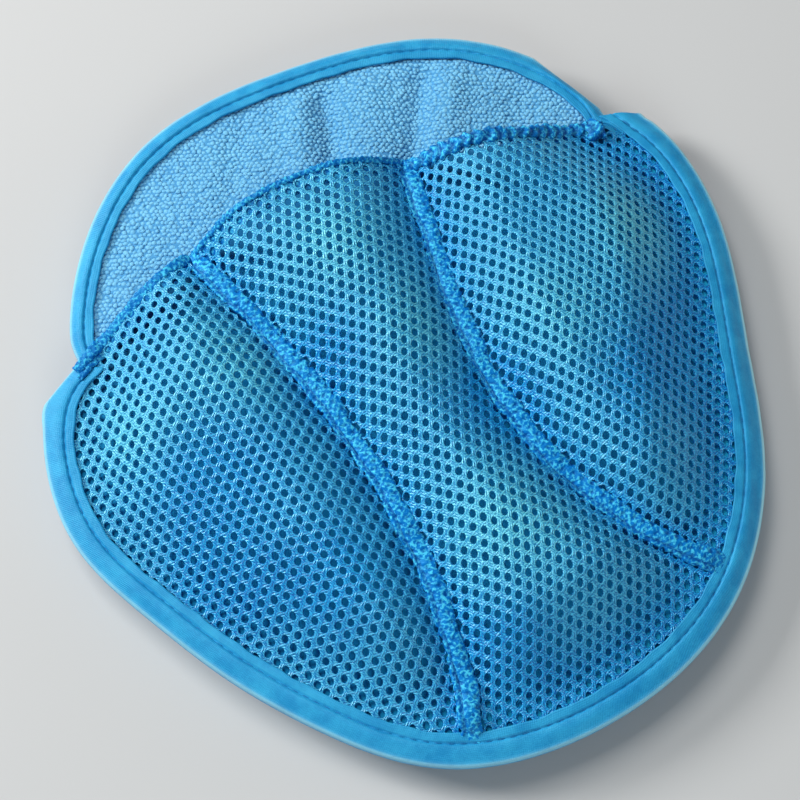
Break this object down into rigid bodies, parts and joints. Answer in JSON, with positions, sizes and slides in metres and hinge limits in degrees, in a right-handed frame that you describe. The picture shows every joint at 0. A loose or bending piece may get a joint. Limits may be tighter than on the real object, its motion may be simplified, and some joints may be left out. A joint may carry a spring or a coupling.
{
  "type": "polishing pad",
  "caption": "Round microfibre polishing pad with finger pockets of netting on its back, a tape-bound rim and a plush working face.",
  "frame": {"origin": "under the middle of the pad's outline, on the plane that the working face rests on", "axes": "+Z out of the back of the pad, +Y out of the mouths of the pockets, +X along the mouths"},
  "size_m": [0.1407, 0.1441, 0.0218],
  "materials": {
    "face_plush": "long plush microfibre loops",
    "foam": "soft open-cell foam",
    "back_terry": "short microfibre terry loops",
    "pocket_mesh": "glossy knitted polyester net with oval holes",
    "welt_mesh": "folded knitted net",
    "binding_tape": "satin woven tape",
    "thread": "polyester sewing thread"
  },
  "bodies": {
    "root": {"polishing_face": "face_plush", "foam_core": "foam", "terry_back": "back_terry", "mesh_panel_left": "pocket_mesh", "mesh_panel_middle": "pocket_mesh", "mesh_panel_right": "pocket_mesh", "divider_welt_left": "welt_mesh", "divider_welt_right": "welt_mesh", "edge_binding_upper": "binding_tape", "edge_binding_lower": "binding_tape", "edge_stitching_upper": "thread", "edge_stitching_lower": "thread", "divider_stitching_left": "thread", "divider_stitching_right": "thread"}
  },
  "joints": []
}
